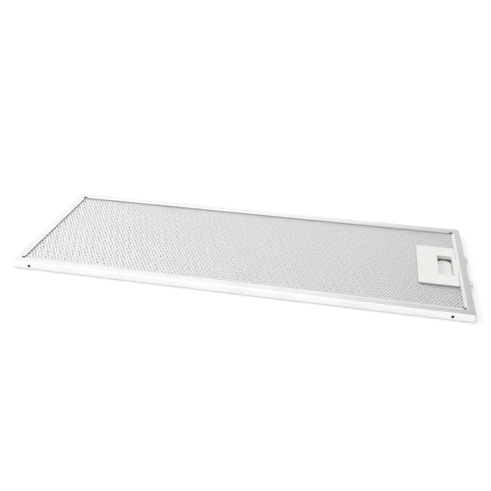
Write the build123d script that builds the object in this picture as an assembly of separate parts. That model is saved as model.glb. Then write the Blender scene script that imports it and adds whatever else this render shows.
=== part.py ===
from build123d import *
import os

# Slim aluminium grease filter cassette for an under-cabinet cooker hood.
# Millimetres. Origin: centre of the frame's underside. +X runs along the cassette
# towards the latch end, +Z is up, out of the face that carries the latch.

# Driving dimensions
LENGTH = 460.0
WIDTH = 174.0
HEIGHT = 8.0
SHEET = 0.6  # thickness of the folded frame strip
LIP_LONG = 10.5  # plan width of the long rails
LIP_END = 9.3  # plan width of the end rails
HEM = 3.0  # inner part of each lip, which is bent towards the mesh
HEM_DROP = 0.5
CORNER_R = 2.5
BEND_R = 0.7
MITRE_GAP = 0.1
HOLE_INSET = 20.3  # from the cassette's end to the locating hole
HOLE_R = 1.5

# Filter pack: face sheets of expanded metal with finer layers between them
FACE_SHEET = 0.7
INNER_LAYERS = 6
PACK_INSET = 2.0  # from the frame's outside to the sheets' edge
PACK_BOTTOM = 1.3
PACK_TOP = HEIGHT - PACK_BOTTOM

HEM_RELIEF = 1.7  # open square where two rails' bent-in edges meet
CORNER_CLIP = 0.4  # how far inside the window's corners the sheets' corners are cut

# Corner keys
KEY_LEG = 16.0
KEY_SHEET = 1.0
KEY_BEND_R = 0.8  # inside the bend
KEY_CLEAR = 0.05

# Latch: a fixed cover and base, with a spring-loaded slider between them
COVER_X = (180.7, 220.2)
COVER_HALF_W = 38.5
COVER_Z = (7.2, 8.5)
COVER_CORNER_R = 1.5
COVER_EDGE_R = 0.45
LOBE_X = 222.3  # crown of the lobe that lies on the end rail's lip
LOBE_HALF_W = 19.0
LOBE_ROOT = 1.0  # how far the lobe reaches back into the plate
LOBE_UNDER = 7.95
WINDOW_X = (201.5, 216.5)
WINDOW_HALF_W = 19.25
WELL_WALL = 1.2
WELL_CORNER_R = 1.0
WELL_BOTTOM = 4.4
TAB_X = (217.5, 224.0)
TAB_HALF_W = 14.0
TAB_Z = (6.0, 6.6)
RISER_X = 219.6  # far side of the riser between the tab and the plate
PEG_R = 1.3
PEG_BOTTOM = 3.2
SOCKET_DEPTH_CLEAR = 0.3
PEG_X = 190.5
PEG_Y = (12.0, 28.0)
SOCKET_CLEAR = 0.05
BOSS_R = 2.6

BASE_X = (179.5, 220.0)
BASE_HALF_W = 37.5
BASE_Z = (0.1, 1.0)
BASE_CORNER_R = 1.5
TRAY_X = (186.0, 229.1)
TRAY_HALF_W = 32.4
TRAY_WALL = 1.4
TRAY_INNER_HALF_W = TRAY_HALF_W - TRAY_WALL
TRAY_TOP = 6.7
TRAY_STEP = 1.25  # underside of the walls where they lie on the end rail's lower lip
NOTCH_CLEAR = 1.0  # between the tray and the sheets cut round it
RIB_Y = 8.6
RIB_W = 1.2
RIB_TOP = 1.5

TRAVEL = 4.5  # slider's stroke, towards -X
SLIDER_BOTTOM = 1.6
BAR_TOP = 2.8
PAD_X = (201.8, 216.2)
PAD_Y = (-19.5, 17.6)
PAD_R = 7.1  # back end, rounded right across
PAD_FRONT_R = 2.0
PAD_TOP = 4.0
PAD_EDGE_R = 0.35
DISH_RIM = 0.9
DISH_FLOOR = 3.1
DISH_R = 0.7  # between the dish's floor and its sides
BAR_X = (214.0, 228.7)
NECK_Y = (-16.5, 9.5)  # where the bar runs back under the well's wall to the pad
BAR_HALF_W = 30.4
BAR_RIB = (1.6, 4.8)  # width of the stiffening rib and its top
ARM_X = 219.5
ARM_TOP = 5.7
TONGUE_Y = 25.5
TONGUE_W = 9.0
TONGUE_Z = (2.5, 5.5)
TONGUE_REACH = 4.0  # beyond the frame
TONGUE_R = 3.0
TONGUE_EDGE_R = 0.9
SLOT_CLEAR = 0.4
SLOT_CORNER_R = 1.0

SPRING_SEAT_X = (197.6, 199.0)
SPRING_SEAT_HALF_W = 3.55  # inner half, from the spring's axis towards the middle
SPRING_R = 2.25  # to the centre of the wire
WIRE_R = 0.25
SPRING_TURNS = 8
SPRING_END_GAP = 0.35  # from a seat to the centre of the end turn
GUIDE_PEG_R = 1.2
GUIDE_PEG_LEN = 3.5

JOIN = 0.1  # overlap that fuses two features of one moulding
BOSS_GAP = 0.1  # between the tray's bosses and the cover
PAST = 1.0  # how far a cutter runs past what it cuts

MID_Z = HEIGHT / 2
HALF_L = LENGTH / 2
HALF_W = WIDTH / 2


def block(x, y, z):
    """Box from its low and high limits along each axis."""
    size = [high - low for low, high in (x, y, z)]
    centre = [(high + low) / 2 for low, high in (x, y, z)]
    return Pos(*centre) * Box(*size)


def upright(x, y, z, radius):
    """Box whose vertical edges are rounded."""
    body = block(x, y, z)
    return fillet(body.edges().filter_by(Axis.Z), radius)


def rod(x, y, z, radius):
    """Cylinder along X, from its two end planes."""
    length = x[1] - x[0]
    return Pos((x[0] + x[1]) / 2, y, z) * Rot(0, 90, 0) * Cylinder(radius, length)


def post(x, y, z, radius):
    """Upright cylinder from its low and high limits."""
    return Pos(x, y, (z[0] + z[1]) / 2) * Cylinder(radius, z[1] - z[0])


def mirrored(half):
    """A feature and its copy on the other side of the cassette's long axis."""
    return half + mirror(half, about=Plane.XZ)


# ---------------------------------------------------------------- frame


def folded_ring():
    """Flat parts of the frame strip, all round: web, upper lip and lower lip."""
    outer = upright((-HALF_L, HALF_L), (-HALF_W, HALF_W), (0, HEIGHT), CORNER_R)
    bends = outer.edges().group_by(Axis.Z)
    outer = fillet(bends[0] + bends[-1], BEND_R)
    inner_l = HALF_L - SHEET
    inner_w = HALF_W - SHEET
    inner = upright(
        (-inner_l, inner_l), (-inner_w, inner_w), (SHEET, HEIGHT - SHEET), CORNER_R - SHEET
    )
    window_l = HALF_L - LIP_END + HEM
    window_w = HALF_W - LIP_LONG + HEM
    through = (-PAST, HEIGHT + PAST)
    window = block((-window_l, window_l), (-window_w, window_w), through)
    return outer - inner - window


def hem(lip, half_width, run):
    """Upper bent-in edge of a rail that runs along X at -Y, with its lower twin."""
    root = -half_width + lip - HEM
    tip = -half_width + lip
    top = HEIGHT - HEM_DROP
    outline = Polyline(
        (0, root, HEIGHT),
        (0, tip, top),
        (0, tip, top - SHEET),
        (0, root, HEIGHT - SHEET),
        close=True,
    )
    upper = extrude(make_face(outline), run / 2, dir=(1, 0, 0), both=True)
    lower = Pos(0, 0, HEIGHT) * mirror(upper, about=Plane.XY)
    return upper + lower


def mitre_wedge(lip, other_lip, half_run, half_width, gap):
    """Plan area of a rail that runs along X at -Y, between its two mitre lines."""
    outline = Polyline(
        (-half_run + gap, -half_width),
        (half_run - gap, -half_width),
        (half_run - other_lip - gap, -half_width + lip),
        (-half_run + other_lip + gap, -half_width + lip),
        close=True,
    )
    return Pos(0, 0, -PAST) * extrude(make_face(outline), HEIGHT + 2 * PAST)


def rail(ring, lip, other_lip, half_run, half_width, turn, gap):
    """One rail of the frame; turn is its angle about Z from the front rail."""
    wedge = mitre_wedge(lip, other_lip, half_run, half_width, gap)
    bent = hem(lip, half_width, 2 * half_run) & wedge
    relief_y = (-half_width + lip - HEM_RELIEF, -half_width + lip + PAST)
    for end in (-half_run + other_lip, half_run - other_lip):
        relief_x = (end - HEM_RELIEF, end + HEM_RELIEF)
        bent -= block(relief_x, relief_y, (-PAST, HEIGHT + PAST))
    return (ring & (Rot(0, 0, turn) * wedge)) + Rot(0, 0, turn) * bent


def long_rail(ring, turn):
    """Long rail with a locating hole near each end of its web."""
    body = rail(ring, LIP_LONG, LIP_END, HALF_L, HALF_W, turn, 0)
    for x in (-HALF_L + HOLE_INSET, HALF_L - HOLE_INSET):
        hole = Pos(x, 0, MID_Z) * Rot(90, 0, 0) * Cylinder(HOLE_R, WIDTH + 2 * PAST)
        body -= hole
    return body


def plain_end_rail(ring):
    """Rail at -X."""
    return rail(ring, LIP_END, LIP_LONG, HALF_W, HALF_L, -90, MITRE_GAP)


def latch_end_rail(ring):
    """Rail at +X, slotted for the two latch tongues."""
    body = rail(ring, LIP_END, LIP_LONG, HALF_W, HALF_L, 90, MITRE_GAP)
    half = TONGUE_W / 2 + SLOT_CLEAR
    z = (TONGUE_Z[0] - SLOT_CLEAR, TONGUE_Z[1] + SLOT_CLEAR)
    x = (HALF_L - SHEET - PAST, HALF_L + PAST)
    slot = block(x, (TONGUE_Y - half, TONGUE_Y + half), z)
    slot = fillet(slot.edges().filter_by(Axis.X), SLOT_CORNER_R)
    return body - mirrored(slot)


def corner_key(sign_x, sign_y, turn):
    """Angle piece that holds two rails square, inside the frame at one corner."""
    z = (SHEET + KEY_CLEAR, HEIGHT - SHEET - KEY_CLEAR)
    outer = block((-KEY_LEG, 0), (-KEY_LEG, 0), z)
    bend = outer.edges().filter_by(Axis.Z).group_by(Axis.X)[-1].sort_by(Axis.Y)[-1]
    outer = fillet(bend, CORNER_R - SHEET - KEY_CLEAR)
    inner = (-KEY_LEG - PAST, -KEY_SHEET)
    key = outer - upright(inner, inner, (0, HEIGHT), KEY_BEND_R)
    x = sign_x * (HALF_L - SHEET - KEY_CLEAR)
    y = sign_y * (HALF_W - SHEET - KEY_CLEAR)
    return Pos(x, y, 0) * Rot(0, 0, turn) * key


# ---------------------------------------------------------------- filter pack


def pack_sheet(bottom, top):
    """One sheet of the filter pack, cut away round the latch."""
    x = HALF_L - PACK_INSET
    y = HALF_W - PACK_INSET
    sheet = block((-x, x), (-y, y), (bottom, top))
    notch_w = TRAY_HALF_W + NOTCH_CLEAR
    notch_x = (TRAY_X[0] - NOTCH_CLEAR, x + PAST)
    past_z = (bottom - PAST, top + PAST)
    sheet -= block(notch_x, (-notch_w, notch_w), past_z)
    clip_x = (HALF_L - LIP_END - CORNER_CLIP, x + PAST)
    clip_y = (HALF_W - LIP_LONG - CORNER_CLIP, y + PAST)
    clips = mirrored(block(clip_x, clip_y, past_z))
    return sheet - clips - mirror(clips, about=Plane.YZ)


def inner_layer(number):
    """One of the fine layers between the face sheets, counted from below."""
    low = PACK_BOTTOM + FACE_SHEET
    pitch = (PACK_TOP - PACK_BOTTOM - 2 * FACE_SHEET) / INNER_LAYERS
    return pack_sheet(low + number * pitch, low + (number + 1) * pitch)


# ---------------------------------------------------------------- latch


def latch_cover():
    """Visible plate with its finger well, held by pegs and by a tab under the lip."""
    plate = upright(COVER_X, (-COVER_HALF_W, COVER_HALF_W), COVER_Z, COVER_CORNER_R)
    plate = fillet(plate.edges().group_by(Axis.Z)[-1], COVER_EDGE_R)
    root = COVER_X[1] - LOBE_ROOT
    lobe_edge = ThreePointArc((root, -LOBE_HALF_W), (LOBE_X, 0), (root, LOBE_HALF_W))
    chord = Line((root, LOBE_HALF_W), (root, -LOBE_HALF_W))
    lobe_face = make_face([lobe_edge, chord])
    lobe = Pos(0, 0, LOBE_UNDER) * extrude(lobe_face, COVER_Z[1] - LOBE_UNDER)
    tab = block(TAB_X, (-TAB_HALF_W, TAB_HALF_W), TAB_Z)
    riser_x = (TAB_X[0], RISER_X)
    riser = block(riser_x, (-TAB_HALF_W, TAB_HALF_W), (TAB_Z[0], COVER_Z[0] + JOIN))
    outer_x = (WINDOW_X[0] - WELL_WALL, WINDOW_X[1] + WELL_WALL)
    outer_w = WINDOW_HALF_W + WELL_WALL
    well_z = (WELL_BOTTOM, COVER_Z[0] + JOIN)
    well = upright(outer_x, (-outer_w, outer_w), well_z, WELL_CORNER_R)
    opening_z = (0, COVER_Z[1] + PAST)
    opening = block(WINDOW_X, (-WINDOW_HALF_W, WINDOW_HALF_W), opening_z)
    body = plate + lobe + tab + riser + well - opening
    for y in PEG_Y:
        body += mirrored(post(PEG_X, y, (PEG_BOTTOM, COVER_Z[0] + JOIN), PEG_R))
    return body


def tray_walls():
    """Low walls round the latch mechanism, open at the end rail."""
    outer = block(TRAY_X, (-TRAY_HALF_W, TRAY_HALF_W), (BASE_Z[1] - JOIN, TRAY_TOP))
    inner_x = (TRAY_X[0] + TRAY_WALL, TRAY_X[1] + PAST)
    inner = block(inner_x, (-TRAY_INNER_HALF_W, TRAY_INNER_HALF_W), (0, HEIGHT))
    step_x = (BASE_X[1] - JOIN, TRAY_X[1] + PAST)
    step = block(step_x, (-HALF_W, HALF_W), (0, TRAY_STEP))
    return outer - inner - step


def latch_base():
    """Moulded tray under the slider; its rim lies below the lower face sheet."""
    rim = upright(BASE_X, (-BASE_HALF_W, BASE_HALF_W), BASE_Z, BASE_CORNER_R)
    body = rim + tray_walls()
    floor = BASE_Z[1] - JOIN
    seat_y = (TONGUE_Y - SPRING_SEAT_HALF_W, TRAY_INNER_HALF_W + JOIN)
    body += mirrored(block(SPRING_SEAT_X, seat_y, (floor, TRAY_TOP)))
    peg_x = (SPRING_SEAT_X[1] - JOIN, SPRING_SEAT_X[1] + GUIDE_PEG_LEN)
    body += mirrored(rod(peg_x, TONGUE_Y, MID_Z, GUIDE_PEG_R))
    rib_y = (RIB_Y - RIB_W / 2, RIB_Y + RIB_W / 2)
    rib_x = (PAD_X[0] - TRAVEL, WINDOW_X[1])
    body += mirrored(block(rib_x, rib_y, (floor, RIB_TOP)))
    for y in PEG_Y:
        body += mirrored(post(PEG_X, y, (floor, COVER_Z[0] - BOSS_GAP), BOSS_R))
        socket_z = (PEG_BOTTOM - SOCKET_DEPTH_CLEAR, HEIGHT)
        body -= mirrored(post(PEG_X, y, socket_z, PEG_R + SOCKET_CLEAR))
    return body


def tongue():
    """One tongue on its arm, at +Y."""
    y = (TONGUE_Y - TONGUE_W / 2, TONGUE_Y + TONGUE_W / 2)
    arm = block((ARM_X, BAR_X[1]), y, (SLIDER_BOTTOM, ARM_TOP))
    blade = block((BAR_X[1] - JOIN, HALF_L + TONGUE_REACH), y, TONGUE_Z)
    tip = blade.edges().filter_by(Axis.Z).group_by(Axis.X)[-1]
    blade = fillet(tip, TONGUE_R)
    flats = blade.faces().filter_by(Axis.Z)
    rim = [edge for face in flats for edge in face.edges() if edge.center().X > HALF_L]
    blade = fillet(rim, TONGUE_EDGE_R)
    guide = rod((ARM_X - GUIDE_PEG_LEN, ARM_X + JOIN), TONGUE_Y, MID_Z, GUIDE_PEG_R)
    return arm + blade + guide


def arch(inset, z):
    """Upright body with the pad's plan shape, narrowed by an inset all round."""
    x = (PAD_X[0] + inset, PAD_X[1] - inset)
    y = (PAD_Y[0] + inset, PAD_Y[1] - inset)
    body = block(x, y, z)
    body = fillet(body.edges().filter_by(Axis.Z).group_by(Axis.Y)[-1], PAD_R - inset)
    return fillet(body.edges().filter_by(Axis.Z).group_by(Axis.Y)[0], PAD_FRONT_R - inset)


def finger_pad():
    """Raised pad with a shallow dish for the fingertip."""
    pad = arch(0, (SLIDER_BOTTOM, PAD_TOP))
    pad = fillet(pad.edges().group_by(Axis.Z)[-1], PAD_EDGE_R)
    dish = arch(DISH_RIM, (DISH_FLOOR, HEIGHT))
    return pad - fillet(dish.edges().group_by(Axis.Z)[0], DISH_R)


def latch_slider():
    """Finger pad, cross bar and two tongues in one moulding."""
    web = (SLIDER_BOTTOM, BAR_TOP)
    neck = block((BAR_X[0], ARM_X + JOIN), NECK_Y, web)
    bar = block((ARM_X, BAR_X[1]), (-BAR_HALF_W, BAR_HALF_W), web)
    rib_x = (BAR_X[1] - BAR_RIB[0], BAR_X[1])
    rib = block(rib_x, (-TONGUE_Y, TONGUE_Y), (SLIDER_BOTTOM, BAR_RIB[1]))
    return finger_pad() + neck + bar + rib + mirrored(tongue())


def latch_spring(sign):
    """Compression spring between the base's seat and the slider's arm."""
    start = SPRING_SEAT_X[1] + SPRING_END_GAP
    height = ARM_X - SPRING_END_GAP - start
    path = Helix(pitch=height / SPRING_TURNS, height=height, radius=SPRING_R)
    wire_plane = Plane(origin=path @ 0, z_dir=path % 0)
    coil = sweep(wire_plane * Circle(WIRE_R), path=path, is_frenet=True)
    return Pos(start, sign * TONGUE_Y, MID_Z) * Rot(0, 90, 0) * coil


def all_parts():
    """Every node of the cassette by name."""
    ring = folded_ring()
    parts = {
        "front_rail": long_rail(ring, 0),
        "back_rail": long_rail(ring, 180),
        "plain_end_rail": plain_end_rail(ring),
        "latch_end_rail": latch_end_rail(ring),
        "corner_key_front_left": corner_key(-1, -1, 180),
        "corner_key_front_right": corner_key(1, -1, -90),
        "corner_key_back_left": corner_key(-1, 1, 90),
        "corner_key_back_right": corner_key(1, 1, 0),
        "upper_face_mesh": pack_sheet(PACK_TOP - FACE_SHEET, PACK_TOP),
        "lower_face_mesh": pack_sheet(PACK_BOTTOM, PACK_BOTTOM + FACE_SHEET),
        "latch_cover": latch_cover(),
        "latch_base": latch_base(),
        "latch_slider": latch_slider(),
        "latch_spring_front": latch_spring(-1),
        "latch_spring_back": latch_spring(1),
    }
    for number in range(INNER_LAYERS):
        parts[f"inner_mesh_{number + 1}"] = inner_layer(number)
    return parts


os.makedirs("parts", exist_ok=True)
for name, shape in all_parts().items():
    shape.label = name
    export_step(shape, f"parts/{name}.step")
    print(name, len(shape.solids()), round(shape.volume, 1), shape.bounding_box().size)
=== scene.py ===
"""Looks of a slim aluminium grease filter cassette with a plastic slide latch.

Everything is in metres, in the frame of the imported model: +X runs towards the latch end, +Z is up,
and the origin is the centre of the cassette's underside.
"""

import logging
import math
from dataclasses import dataclass, field
from enum import Enum
from functools import partial
from typing import Callable

import bpy
from mathutils import Matrix, Vector


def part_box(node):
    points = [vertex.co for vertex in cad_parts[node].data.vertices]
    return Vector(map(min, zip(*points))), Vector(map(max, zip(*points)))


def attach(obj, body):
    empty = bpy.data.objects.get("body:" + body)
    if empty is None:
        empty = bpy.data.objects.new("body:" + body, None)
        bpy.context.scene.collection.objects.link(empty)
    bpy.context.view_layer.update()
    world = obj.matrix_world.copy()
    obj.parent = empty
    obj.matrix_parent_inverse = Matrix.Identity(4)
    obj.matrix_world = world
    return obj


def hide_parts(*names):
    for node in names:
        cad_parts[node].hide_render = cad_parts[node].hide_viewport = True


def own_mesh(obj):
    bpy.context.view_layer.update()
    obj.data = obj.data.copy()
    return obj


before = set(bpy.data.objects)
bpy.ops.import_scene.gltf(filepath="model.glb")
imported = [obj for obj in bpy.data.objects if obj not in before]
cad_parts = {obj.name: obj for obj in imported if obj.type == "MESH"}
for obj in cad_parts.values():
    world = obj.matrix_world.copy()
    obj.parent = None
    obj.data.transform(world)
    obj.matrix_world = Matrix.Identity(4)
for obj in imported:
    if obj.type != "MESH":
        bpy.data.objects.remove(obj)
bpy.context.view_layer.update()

LOG = logging.getLogger("cassette")
MM = 0.001
CASSETTE = "cassette"
SAME_PLACE = 0.02 * MM  # vertices nearer than this count as being at one place
WELD = 0.01 * MM  # vertices nearer than this become one
NOISE_RANGE = (0.3, 0.7)  # where nearly all of a noise's values lie
Colour = tuple[float, float, float]
Pair = tuple[float, float]


# ------------------------------------------------------------------ modelling helpers


def deselect() -> None:
    """Leaves object mode clean: nothing selected."""
    if bpy.context.mode != "OBJECT":
        bpy.ops.object.mode_set(mode="OBJECT")
    bpy.ops.object.select_all(action="DESELECT")


def only(piece: bpy.types.Object) -> None:
    """Selects one object and makes it active.

    Args:
        piece: The object that the next operators act on.
    """
    deselect()
    piece.select_set(True)
    bpy.context.view_layer.objects.active = piece


def apply_modifiers(piece: bpy.types.Object) -> None:
    """Applies every modifier of a piece in order.

    Args:
        piece: The piece to finish.
    """
    only(piece)
    for modifier in list(piece.modifiers):
        bpy.ops.object.modifier_apply(modifier=modifier.name)


def settle(piece: bpy.types.Object) -> None:
    """Moves an object's place, turn and scale into its mesh.

    Args:
        piece: The piece to settle at the origin.
    """
    only(piece)
    bpy.ops.object.transform_apply(location=True, rotation=True, scale=True)


def pick(piece: bpy.types.Object, kind: str, test: Callable[[Vector], bool]) -> int:
    """Selects the vertices or faces of the edited mesh whose place passes a test.

    Args:
        piece: The object in edit mode.
        kind: "VERT" or "FACE".
        test: Called with a vertex's place or a face's centre.

    Returns:
        How many were selected.
    """
    bpy.ops.mesh.select_mode(type=kind)
    bpy.ops.mesh.select_all(action="DESELECT")
    bpy.ops.object.mode_set(mode="OBJECT")
    mesh = piece.data
    chosen = 0
    if kind == "VERT":
        for vertex in mesh.vertices:
            vertex.select = test(vertex.co)
            chosen += vertex.select
    else:
        for face in mesh.polygons:
            face.select = test(face.center)
            chosen += face.select
    bpy.ops.object.mode_set(mode="EDIT")
    return chosen


# ------------------------------------------------------------------ shader groups


class Nodes:
    """A node tree and the calls that build it."""

    def __init__(self, tree: bpy.types.NodeTree) -> None:
        """Starts on a tree.

        Args:
            tree: The tree that gets the nodes.
        """
        self.tree = tree

    def node(self, kind: str, **settings: object) -> bpy.types.Node:
        """Adds a node and sets its properties.

        Args:
            kind: The node's type.
            **settings: Property values by name.

        Returns:
            The new node.
        """
        made = self.tree.nodes.new(kind)
        for name, value in settings.items():
            setattr(made, name, value)
        return made

    def link(self, start: bpy.types.NodeSocket, end: bpy.types.NodeSocket) -> None:
        """Joins two sockets.

        Args:
            start: The output that gives the value.
            end: The input that takes it.
        """
        self.tree.links.new(start, end)

    def maths(self, operation: str, first: object, second: object = 0.0) -> bpy.types.NodeSocket:
        """Adds a Math node whose inputs are sockets or numbers.

        Args:
            operation: The operation's name.
            first: A socket or a number.
            second: A socket or a number.

        Returns:
            The result's socket.
        """
        made = self.node("ShaderNodeMath", operation=operation)
        for socket, value in zip(made.inputs, (first, second)):
            if isinstance(value, bpy.types.NodeSocket):
                self.link(value, socket)
            else:
                socket.default_value = value
        return made.outputs[0]

    def remap(
        self, value: bpy.types.NodeSocket, source: Pair, target: Pair, step: str = "LINEAR"
    ) -> bpy.types.NodeSocket:
        """Maps one range of values onto another and holds the ends.

        Args:
            value: What is mapped.
            source: Where the range starts and ends.
            target: The results at those two values.
            step: The kind of interpolation between them.

        Returns:
            The mapped socket.
        """
        mapped = self.node("ShaderNodeMapRange", interpolation_type=step)
        titles = ("From Min", "From Max", "To Min", "To Max")
        for title, number in zip(titles, (*source, *target)):
            mapped.inputs[title].default_value = number
        self.link(value, mapped.inputs["Value"])
        return mapped.outputs[0]


class Group(Nodes):
    """A shader node group that several materials share."""

    def __init__(self, name: str, inputs: dict[str, float], outputs: tuple[str, ...]) -> None:
        """Makes the group and its sockets.

        Args:
            name: The group's name.
            inputs: Float inputs with their starting values.
            outputs: Names of the float outputs.
        """
        super().__init__(bpy.data.node_groups.new(name, "ShaderNodeTree"))
        for title, value in inputs.items():
            self.socket(title, "INPUT").default_value = value
        for title in outputs:
            self.socket(title, "OUTPUT")
        self.inputs = self.node("NodeGroupInput").outputs
        self.outputs = self.node("NodeGroupOutput").inputs

    def socket(self, title: str, side: str) -> bpy.types.NodeTreeInterfaceSocket:
        """Adds a float socket to the group.

        Args:
            title: The socket's name.
            side: "INPUT" or "OUTPUT".

        Returns:
            The new socket.
        """
        return self.tree.interface.new_socket(
            name=title, in_out=side, socket_type="NodeSocketFloat"
        )

    def noise(self, detail: float) -> bpy.types.Node:
        """Adds a noise texture.

        Args:
            detail: How many octaves it has.

        Returns:
            The noise node.
        """
        made = self.node("ShaderNodeTexNoise")
        made.inputs["Detail"].default_value = detail
        return made


def grain_group() -> bpy.types.NodeTree:
    """Fine lines along one direction, as rolling leaves them, over soft cloudy patches.

    Returns:
        The group: lengths are in metres, and Lines and Clouds run from 0 to 1.
    """
    sizes = {"Size X": 30 * MM, "Size Y": 0.4 * MM, "Size Z": 0.4 * MM}
    group = Group("rolled_grain", {**sizes, "Cloud": 50 * MM}, ("Lines", "Clouds"))
    place = group.node("ShaderNodeTexCoord").outputs["Object"]
    split = group.node("ShaderNodeSeparateXYZ")
    group.link(place, split.inputs[0])
    joined = group.node("ShaderNodeCombineXYZ")
    for index, size in enumerate(sizes):
        scaled = group.maths("DIVIDE", split.outputs[index], group.inputs[size])
        group.link(scaled, joined.inputs[index])
    lines = group.noise(detail=4.0)
    lines.inputs["Scale"].default_value = 1.0
    group.link(joined.outputs[0], lines.inputs["Vector"])
    group.link(lines.outputs[0], group.outputs["Lines"])
    clouds = group.noise(detail=3.0)
    group.link(place, clouds.inputs["Vector"])
    group.link(group.maths("DIVIDE", 1.0, group.inputs["Cloud"]), clouds.inputs["Scale"])
    group.link(clouds.outputs[0], group.outputs["Clouds"])
    return group.tree


def edge_group() -> bpy.types.NodeTree:
    """Mask of rubbed edges, broken up so that the wear is uneven.

    Returns:
        The group: Radius is in metres, and Mask runs from 0 to 1.
    """
    gain = 6.0  # turns the bevel's small slopes into a full mask
    patches_per_metre = 140.0
    group = Group("edge_rub", {"Radius": 0.4 * MM, "Amount": 0.5}, ("Mask",))
    bevel = group.node("ShaderNodeBevel", samples=4)
    group.link(group.inputs["Radius"], bevel.inputs["Radius"])
    slope = group.node("ShaderNodeVectorMath", operation="DOT_PRODUCT")
    group.link(bevel.outputs[0], slope.inputs[0])
    group.link(group.node("ShaderNodeNewGeometry").outputs["Normal"], slope.inputs[1])
    turned = group.maths("SUBTRACT", 1.0, slope.outputs["Value"])
    patches = group.noise(detail=2.0)
    patches.inputs["Scale"].default_value = patches_per_metre
    group.link(group.node("ShaderNodeTexCoord").outputs["Object"], patches.inputs["Vector"])
    broken = group.maths("MULTIPLY", group.maths("MULTIPLY", turned, gain), patches.outputs[0])
    scaled = group.maths("MULTIPLY", broken, group.inputs["Amount"])
    group.link(group.maths("MINIMUM", scaled, 1.0), group.outputs["Mask"])
    return group.tree


# ------------------------------------------------------------------ finishes


class Run(Enum):
    """Direction that a strip was rolled in."""

    ALONG_X = "x"
    ALONG_Y = "y"


class Shader(Nodes):
    """A material under construction, with its Principled BSDF."""

    def __init__(self, name: str) -> None:
        """Starts a material.

        Args:
            name: The material's name.
        """
        self.material = bpy.data.materials.new(name)
        self.material.use_nodes = True
        super().__init__(self.material.node_tree)
        self.bsdf = self.tree.nodes["Principled BSDF"]

    def group(self, tree: bpy.types.NodeTree, **values: float) -> bpy.types.Node:
        """Places a shared group with its values.

        Args:
            tree: The group.
            **values: Input values, with _ for each space in a socket's name.

        Returns:
            The group node.
        """
        made = self.node("ShaderNodeGroup", node_tree=tree)
        for name, value in values.items():
            made.inputs[name.replace("_", " ")].default_value = value
        return made

    def plain(self, **values: float | tuple[float, ...]) -> None:
        """Sets inputs of the Principled BSDF that don't vary over the piece.

        Args:
            **values: Input values, with _ for each space in a socket's name.
        """
        for name, value in values.items():
            self.bsdf.inputs[name.replace("_", " ")].default_value = value

    def tint(
        self, factor: bpy.types.NodeSocket, first: Colour | bpy.types.NodeSocket, second: Colour
    ) -> bpy.types.NodeSocket:
        """Mixes two colours.

        Args:
            factor: 0 gives the first colour and 1 the second.
            first: A colour or a colour socket.
            second: A colour.

        Returns:
            The mixed colour's socket.
        """
        mix = self.node("ShaderNodeMix", data_type="RGBA")
        colours = [socket for socket in mix.inputs if socket.type == "RGBA"]
        if isinstance(first, bpy.types.NodeSocket):
            self.link(first, colours[0])
        else:
            colours[0].default_value = (*first, 1.0)
        colours[1].default_value = (*second, 1.0)
        self.link(factor, mix.inputs[0])
        return next(socket for socket in mix.outputs if socket.type == "RGBA")

    def bump(self, height: bpy.types.NodeSocket, depth: float) -> None:
        """Drives the normal by a height.

        Args:
            height: Height from 0 to 1.
            depth: What 1 means, in metres.
        """
        bump = self.node("ShaderNodeBump")
        bump.inputs["Strength"].default_value = 1.0
        bump.inputs["Distance"].default_value = depth
        self.link(height, bump.inputs["Height"])
        self.link(bump.outputs[0], self.bsdf.inputs["Normal"])


@dataclass(frozen=True)
class SharedGroups:
    """The node groups that the finishes use."""

    grain: bpy.types.NodeTree
    edge: bpy.types.NodeTree


@dataclass(frozen=True)
class Aluminium:
    """Rolled or expanded aluminium."""

    name: str
    bright: Colour = (0.93, 0.935, 0.94)
    dull: Colour = (0.86, 0.865, 0.87)
    worn: Colour = (0.97, 0.97, 0.97)
    rough: Pair = (0.26, 0.4)
    run: Run = Run.ALONG_X
    line_width: float = 0.35 * MM
    line_length: float = 30 * MM
    cloud: float = 45 * MM
    line_depth: float = 0.004 * MM
    rub: float = 0.5
    rub_radius: float = 0.35 * MM

    def material(self, groups: SharedGroups) -> bpy.types.Material:
        """Builds the material.

        Args:
            groups: The shared node groups.

        Returns:
            The material.
        """
        shader = Shader(self.name)
        along_x = self.run is Run.ALONG_X
        grain = shader.group(
            groups.grain,
            Size_X=self.line_length if along_x else self.line_width,
            Size_Y=self.line_width if along_x else self.line_length,
            Size_Z=self.line_width,
            Cloud=self.cloud,
        )
        lines, clouds = grain.outputs["Lines"], grain.outputs["Clouds"]
        colour = shader.tint(shader.remap(clouds, NOISE_RANGE, (0.0, 1.0)), self.bright, self.dull)
        if self.rub > 0:
            edge = shader.group(groups.edge, Radius=self.rub_radius, Amount=self.rub)
            colour = shader.tint(edge.outputs["Mask"], colour, self.worn)
        shader.link(colour, shader.bsdf.inputs["Base Color"])
        shader.plain(Metallic=1.0)
        middle = shader.maths("MULTIPLY", shader.maths("ADD", lines, clouds), 0.5)
        rough = shader.remap(middle, NOISE_RANGE, self.rough)
        shader.link(rough, shader.bsdf.inputs["Roughness"])
        shader.bump(lines, self.line_depth)
        return shader.material


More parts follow.
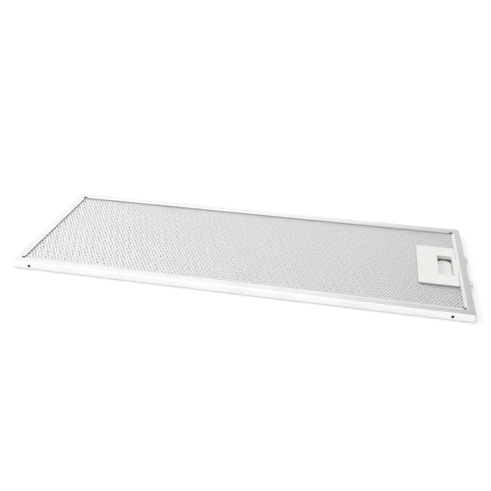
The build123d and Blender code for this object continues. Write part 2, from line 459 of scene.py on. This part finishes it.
@dataclass(frozen=True)
class Moulding:
    """Injection-moulded plastic with a fine satin skin."""

    name: str
    colour: Colour
    shade: Colour
    worn: Colour
    rough: Pair = (0.38, 0.5)
    skin: float = 0.25 * MM
    skin_depth: float = 0.004 * MM
    cloud: float = 12 * MM
    rub: float = 0.35
    rub_radius: float = 0.3 * MM
    ior: float = 1.49

    def material(self, groups: SharedGroups) -> bpy.types.Material:
        """Builds the material.

        Args:
            groups: The shared node groups.

        Returns:
            The material.
        """
        shader = Shader(self.name)
        grain = shader.group(
            groups.grain, Size_X=self.skin, Size_Y=self.skin, Size_Z=self.skin, Cloud=self.cloud
        )
        lines, clouds = grain.outputs["Lines"], grain.outputs["Clouds"]
        colour = shader.tint(shader.remap(clouds, NOISE_RANGE, (0.0, 1.0)), self.colour, self.shade)
        edge = shader.group(groups.edge, Radius=self.rub_radius, Amount=self.rub)
        colour = shader.tint(edge.outputs["Mask"], colour, self.worn)
        shader.link(colour, shader.bsdf.inputs["Base Color"])
        rough = shader.remap(lines, NOISE_RANGE, self.rough)
        shader.link(rough, shader.bsdf.inputs["Roughness"])
        shader.plain(IOR=self.ior)
        shader.bump(lines, self.skin_depth)
        return shader.material


def dress(piece: bpy.types.Object, material: bpy.types.Material) -> None:
    """Gives a piece one material.

    Args:
        piece: The piece.
        material: Its material.
    """
    piece.data.materials.clear()
    piece.data.materials.append(material)


# ------------------------------------------------------------------ filter pack


@dataclass
class ExpandedSheet:
    """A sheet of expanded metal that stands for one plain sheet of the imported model."""

    node: str
    pitch: Pair
    opening: Pair
    metal: float
    relief: float
    slot: str
    outward: int = 0
    turned: bool = False
    shift: Pair = (0.0, 0.0)
    notch: Pair = (185 * MM, 33.4 * MM)
    corner: Pair = (220.3 * MM, 76.1 * MM)

    def tile(self) -> bpy.types.Object:
        """One opening with the strands round it, raised as expanding leaves them.

        Returns:
            A tile whose edges meet the next tiles' edges.
        """
        deselect()
        bpy.ops.mesh.primitive_circle_add(vertices=4, radius=1.0, fill_type="NOTHING")
        piece = bpy.context.active_object
        piece.name = self.node + "_expanded"
        half_x, half_y = self.pitch[0] / 2, self.pitch[1] / 2
        hole_x, hole_y = self.opening[0] / 2, self.opening[1] / 2
        bpy.ops.object.mode_set(mode="EDIT")
        bpy.ops.mesh.select_all(action="SELECT")
        bpy.ops.transform.resize(value=(hole_x, hole_y, 1))
        bpy.ops.mesh.extrude_edges_move()
        grow = half_x / hole_x + half_y / hole_y - 1
        bpy.ops.transform.resize(value=(grow, grow, 1))
        for edge, normal in (
            ((half_x, 0, 0), (1, 0, 0)),
            ((-half_x, 0, 0), (-1, 0, 0)),
            ((0, half_y, 0), (0, 1, 0)),
            ((0, -half_y, 0), (0, -1, 0)),
        ):
            bpy.ops.mesh.select_all(action="SELECT")
            bpy.ops.mesh.bisect(plane_co=edge, plane_no=normal, clear_outer=True)
        for side in (1, -1):
            pick(piece, "VERT", partial(self.at_crossing, side=side))
            bpy.ops.transform.translate(value=(0, 0, side * self.relief))
        bpy.ops.object.mode_set(mode="OBJECT")
        return piece

    def at_crossing(self, place: Vector, side: int) -> bool:
        """Tells whether a vertex of the tile is where expanding lifts or lowers the strands.

        Args:
            place: The vertex's place.
            side: 1 for the lifted crossings and -1 for the lowered ones.

        Returns:
            Whether the vertex moves.
        """
        along = side * place.x
        half_x, half_y = self.pitch[0] / 2, self.pitch[1] / 2
        hole_x = self.opening[0] / 2
        in_middle = abs(along + hole_x) < SAME_PLACE and abs(place.y) < SAME_PLACE
        at_end = abs(along - half_x + hole_x) < SAME_PLACE
        return in_middle or at_end and abs(abs(place.y) - half_y) < SAME_PLACE

    def cut_away(self, place: Vector, reach: Vector) -> bool:
        """Tells whether a strand lies past the sheet's edge, in its notch or at its corners.

        Args:
            place: The centre of a face.
            reach: The far corner of the sheet's box.

        Returns:
            Whether the face goes.
        """
        start, half_notch = self.notch
        in_notch = place.x > start and abs(place.y) < half_notch
        in_corner = abs(place.x) > self.corner[0] and abs(place.y) > self.corner[1]
        past_end = abs(place.x) > reach.x - self.pitch[0] / 2
        past_side = abs(place.y) > reach.y - self.pitch[1] / 2
        return in_notch or in_corner or past_end or past_side

    def repeat(self, piece: bpy.types.Object, half_l: float, half_w: float) -> None:
        """Repeats the tile over the sheet's area and welds the copies.

        Args:
            piece: The tile.
            half_l: Half the sheet's length.
            half_w: Half its width.
        """
        sizes = ((half_l, self.pitch[0]), (half_w, self.pitch[1]))
        for axis, (half, pitch) in enumerate(sizes):
            rows = piece.modifiers.new("rows", "ARRAY")
            rows.count = int(2 * half / pitch)
            rows.use_relative_offset = False
            rows.use_constant_offset = True
            rows.constant_offset_displace = [pitch if i == axis else 0.0 for i in range(3)]
            rows.use_merge_vertices = True
            rows.merge_threshold = WELD
            piece.location[axis] = -(rows.count - 1) * pitch / 2
        apply_modifiers(piece)

    def build(self, finish: bpy.types.Material) -> bpy.types.Object:
        """Makes the sheet in the place of its node.

        Args:
            finish: The sheet's material.

        Returns:
            The finished sheet.
        """
        low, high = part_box(self.node)
        piece = self.tile()
        half_l, half_w = high.x, high.y
        if self.turned:
            half_l, half_w = half_w, half_l
        self.repeat(piece, half_l, half_w)
        if self.turned:
            piece.matrix_world = Matrix.Rotation(math.pi / 2, 4, "Z") @ piece.matrix_world
        piece.location.x += self.shift[0]
        piece.location.y += self.shift[1]
        spare = (high.z - low.z) / 2 - self.metal / 2 - abs(self.relief)
        piece.location.z = (low.z + high.z) / 2 + self.outward * spare
        settle(piece)
        bpy.ops.object.mode_set(mode="EDIT")
        pick(piece, "FACE", partial(self.cut_away, reach=high))
        bpy.ops.mesh.delete(type="FACE")
        bpy.ops.object.mode_set(mode="OBJECT")
        wall = piece.modifiers.new("metal", "SOLIDIFY")
        wall.thickness = self.metal
        wall.offset = 0.0
        apply_modifiers(piece)
        dress(piece, finish)
        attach(piece, CASSETTE)
        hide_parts(self.node)
        return piece


@dataclass
class FilterPack:
    """Two face sheets with finer foil layers between them."""

    groups: SharedGroups
    layers: int = 6
    face_pitch: Pair = (3.6 * MM, 5.8 * MM)
    face_opening: Pair = (2.35 * MM, 4.15 * MM)
    face_metal: float = 0.15 * MM
    face_relief: float = 0.05 * MM
    foil_pitch: Pair = (4.4 * MM, 7.4 * MM)
    foil_opening: Pair = (2.0 * MM, 3.8 * MM)
    foil_metal: float = 0.1 * MM
    foil_relief: float = 0.03 * MM
    foil_step: Pair = (0.31 * MM, 0.47 * MM)
    made: list[bpy.types.Object] = field(default_factory=list)

    def faces(self) -> None:
        """Builds the upper and lower face sheets."""
        finish = Aluminium(
            "face_mesh_aluminium", bright=(0.98, 0.98, 0.98), dull=(0.95, 0.95, 0.95),
            rough=(0.36, 0.46), line_length=6 * MM, cloud=60 * MM, rub=0.0,
        ).material(self.groups)
        for node, outward in (("upper_face_mesh", 1), ("lower_face_mesh", -1)):
            sheet = ExpandedSheet(
                node, self.face_pitch, self.face_opening, self.face_metal, self.face_relief,
                "face_mesh_aluminium", outward=outward,
            )
            self.made.append(sheet.build(finish))

    def foils(self) -> None:
        """Builds the inner layers, every second one turned across."""
        finish = Aluminium(
            "inner_mesh_aluminium", bright=(0.98, 0.98, 0.98), dull=(0.95, 0.95, 0.95),
            rough=(0.34, 0.44), line_length=6 * MM, rub=0.0,
        ).material(self.groups)
        for number in range(self.layers):
            sheet = ExpandedSheet(
                f"inner_mesh_{number + 1}", self.foil_pitch, self.foil_opening, self.foil_metal,
                self.foil_relief, "inner_mesh_aluminium",
                turned=number % 2 == 1,
                shift=(self.foil_step[0] * number, self.foil_step[1] * number),
            )
            self.made.append(sheet.build(finish))

    def build(self) -> list[bpy.types.Object]:
        """Builds the whole pack.

        Returns:
            Its sheets.
        """
        self.faces()
        self.foils()
        return self.made


# ------------------------------------------------------------------ frame and latch


@dataclass
class Frame:
    """Four mitred rails and the keys in their corners."""

    groups: SharedGroups

    def dress_nodes(self) -> list[str]:
        """Gives each rail the grain of its own rolling direction.

        Returns:
            The dressed nodes.
        """
        long_strip = Aluminium("frame_aluminium_long").material(self.groups)
        end_strip = Aluminium("frame_aluminium_end", run=Run.ALONG_Y).material(self.groups)
        key_sheet = Aluminium(
            "key_aluminium", bright=(0.85, 0.86, 0.87), dull=(0.76, 0.77, 0.78), rough=(0.35, 0.5)
        ).material(self.groups)
        finishes = {
            "front_rail": long_strip,
            "back_rail": long_strip,
            "plain_end_rail": end_strip,
            "latch_end_rail": end_strip,
        }
        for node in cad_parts:
            if node.startswith("corner_key"):
                finishes[node] = key_sheet
        for node, finish in finishes.items():
            dress(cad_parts[node], finish)
        return sorted(finishes)


@dataclass
class Latch:
    """Cover, tray, slider and the two springs."""

    groups: SharedGroups
    spring_nodes: tuple[str, ...] = ("latch_spring_front", "latch_spring_back")
    travel: float = 4.5 * MM
    wire: float = 0.25 * MM
    turns: int = 7
    steps_per_turn: int = 20
    wire_sides: int = 8
    shade_angle: float = 60.0

    def dress_nodes(self) -> list[str]:
        """Gives the mouldings their plastics.

        Returns:
            The dressed nodes.
        """
        finishes = {
            "latch_cover": Moulding(
                "cover_plastic", (0.775, 0.78, 0.755), (0.745, 0.75, 0.725), (0.84, 0.84, 0.82)
            ),
            "latch_base": Moulding(
                "base_plastic", (0.73, 0.735, 0.71), (0.7, 0.705, 0.68), (0.8, 0.8, 0.78)
            ),
            "latch_slider": Moulding(
                "slider_plastic", (0.75, 0.755, 0.74), (0.72, 0.725, 0.71), (0.82, 0.82, 0.81)
            ),
        }
        for node, finish in finishes.items():
            dress(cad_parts[node], finish.material(self.groups))
        return sorted(finishes)

    def wind(self, turns: int, advance: float) -> None:
        """Extends the edited wire round the X axis from its selected end face.

        Args:
            turns: Whole turns to add.
            advance: How far along X the turns reach.
        """
        steps = self.steps_per_turn * turns
        for _ in range(steps):
            bpy.ops.mesh.extrude_region_move(
                TRANSFORM_OT_translate={"value": (advance / steps, 0, 0)}
            )
            bpy.ops.transform.rotate(
                value=2 * math.pi / self.steps_per_turn, orient_axis="X",
                center_override=(0, 0, 0),
            )

    def spring(self, node: str, finish: bpy.types.Material) -> bpy.types.Object:
        """Winds one spring in the place of its node.

        Args:
            node: The node that the spring stands for.
            finish: The wire's material.

        Returns:
            The spring.
        """
        low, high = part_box(node)
        centre = (low + high) / 2
        radius = (high.z - low.z) / 2 - self.wire
        length = high.x - low.x - 2 * self.wire
        deselect()
        bpy.ops.mesh.primitive_circle_add(
            vertices=self.wire_sides, radius=self.wire, fill_type="NGON"
        )
        piece = bpy.context.active_object
        piece.name = node + "_coil"
        bpy.ops.object.mode_set(mode="EDIT")
        bpy.ops.mesh.select_all(action="SELECT")
        bpy.ops.transform.translate(value=(0, radius, 0))
        bpy.ops.mesh.select_mode(type="FACE")
        closed = 2 * self.wire
        for turns, advance in ((1, closed), (self.turns, length - 2 * closed), (1, closed)):
            self.wind(turns, advance)
        bpy.ops.mesh.select_all(action="SELECT")
        bpy.ops.mesh.normals_make_consistent(inside=False)
        bpy.ops.object.mode_set(mode="OBJECT")
        bpy.ops.object.shade_smooth_by_angle(angle=math.radians(self.shade_angle))
        piece.location = (low.x + self.wire, centre.y, centre.z)
        settle(piece)
        dress(piece, finish)
        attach(piece, CASSETTE)
        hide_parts(node)
        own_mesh(piece)
        return piece

    def build(self) -> list[str]:
        """Dresses the mouldings and winds the springs.

        Returns:
            The names of what was made or dressed.
        """
        wire = Aluminium(
            "spring_steel", bright=(0.62, 0.63, 0.65), dull=(0.5, 0.51, 0.53), rough=(0.2, 0.32),
            rub=0.0,
        ).material(self.groups)
        names = self.dress_nodes()
        for node in self.spring_nodes:
            names.append(self.spring(node, wire).name)
        return names


# ------------------------------------------------------------------ studio


@dataclass
class Studio:
    """Camera, floor and soft light."""

    lens: float = 45.745
    place: tuple[float, float, float] = (0.11469, -0.58287, 0.33317)
    pitch_down: float = 28.814
    turn_left: float = 11.212
    roll: float = 0.659
    sensor: float = 36.0
    clip: Pair = (0.01, 50.0)
    floor_half: float = 8.0
    floor_gap: float = 0.05 * MM
    floor_white: float = 0.95
    tent_left: float = 1.0
    tent_right: float = 0.45
    tent_edge: Pair = (-0.06, 0.26)
    tent_lean: float = 0.6
    tent_height: float = 0.5
    ceiling: float = 1.35
    ceiling_edge: Pair = (0.78, 0.95)
    key_place: tuple[float, float, float] = (-1.6, 0.15, 1.3)
    key_size: float = 1.6
    key_watts: float = 6.0

    def camera(self) -> None:
        """Creates the camera."""
        data = bpy.data.cameras.new("camera")
        data.lens = self.lens
        data.sensor_width = self.sensor
        data.clip_start, data.clip_end = self.clip
        camera = bpy.data.objects.new("camera", data)
        bpy.context.scene.collection.objects.link(camera)
        turn = (
            Matrix.Rotation(math.radians(self.turn_left), 4, "Z")
            @ Matrix.Rotation(math.radians(90 - self.pitch_down), 4, "X")
            @ Matrix.Rotation(math.radians(self.roll), 4, "Z")
        )
        camera.matrix_world = Matrix.Translation(self.place) @ turn
        bpy.context.scene.camera = camera

    def floor(self) -> None:
        """Lays a plain white floor under the cassette."""
        deselect()
        bpy.ops.mesh.primitive_plane_add(
            size=2 * self.floor_half, location=(0, 0, -self.floor_gap)
        )
        floor = bpy.context.active_object
        floor.name = "floor"
        shader = Shader("floor_white")
        white = (self.floor_white, self.floor_white, self.floor_white, 1.0)
        shader.plain(Base_Color=white, Roughness=0.9, Specular_IOR_Level=0.1)
        dress(floor, shader.material)

    def sky(self) -> None:
        """Lights the room: a tent that dims towards the right, under a brighter ceiling."""
        world = bpy.data.worlds.new("room")
        bpy.context.scene.world = world
        world.use_nodes = True
        room = Nodes(world.node_tree)
        split = room.node("ShaderNodeSeparateXYZ")
        room.link(room.node("ShaderNodeTexCoord").outputs["Generated"], split.inputs[0])
        east, north, up = split.outputs
        squares = room.maths("ADD", room.maths("POWER", east, 2.0), room.maths("POWER", north, 2.0))
        # straight up and down there is no direction on the map, and the division stays finite
        flat = room.maths("MAXIMUM", room.maths("POWER", squares, 0.5), 0.001)
        above = room.maths("SUBTRACT", up, self.tent_height)
        lean = room.maths("MULTIPLY", above, self.tent_lean)
        turn = room.maths("ADD", room.maths("DIVIDE", east, flat), lean)
        smooth = "SMOOTHSTEP"
        tent = room.remap(turn, self.tent_edge, (self.tent_left, self.tent_right), smooth)
        ceiling = room.remap(up, self.ceiling_edge, (0.0, 1.0), smooth)
        extra = room.maths("MULTIPLY", ceiling, self.ceiling)
        background = room.tree.nodes["Background"]
        background.inputs["Color"].default_value = (1.0, 1.0, 1.0, 1.0)
        room.link(room.maths("ADD", tent, extra), background.inputs["Strength"])

    def key_lamp(self) -> None:
        """Adds a soft square lamp that faces the cassette and leaves no mirror image in it."""
        data = bpy.data.lights.new("key", "AREA")
        data.size = self.key_size
        data.energy = self.key_watts
        lamp = bpy.data.objects.new("key", data)
        bpy.context.scene.collection.objects.link(lamp)
        place = Vector(self.key_place)
        turn = (-place).to_track_quat("-Z", "Y").to_matrix().to_4x4()
        lamp.matrix_world = Matrix.Translation(place) @ turn
        lamp.visible_glossy = False

    def build(self) -> None:
        """Builds the studio."""
        view = bpy.context.scene.view_settings
        view.view_transform = "Standard"
        view.look = "None"
        self.camera()
        self.floor()
        self.sky()
        self.key_lamp()


# ------------------------------------------------------------------ assembly


def main() -> None:
    """Builds every part of the scene in order and reports each one."""
    logging.basicConfig(level=logging.INFO, format="%(name)s: %(message)s")
    Studio().build()
    LOG.info("studio ready")
    groups = SharedGroups(grain_group(), edge_group())
    for node in Frame(groups).dress_nodes():
        LOG.info("dressed %s", node)
    for sheet in FilterPack(groups).build():
        LOG.info("made %s with %d faces", sheet.name, len(sheet.data.polygons))
    for name in Latch(groups).build():
        LOG.info("finished %s", name)


if __name__ == "__main__":
    main()
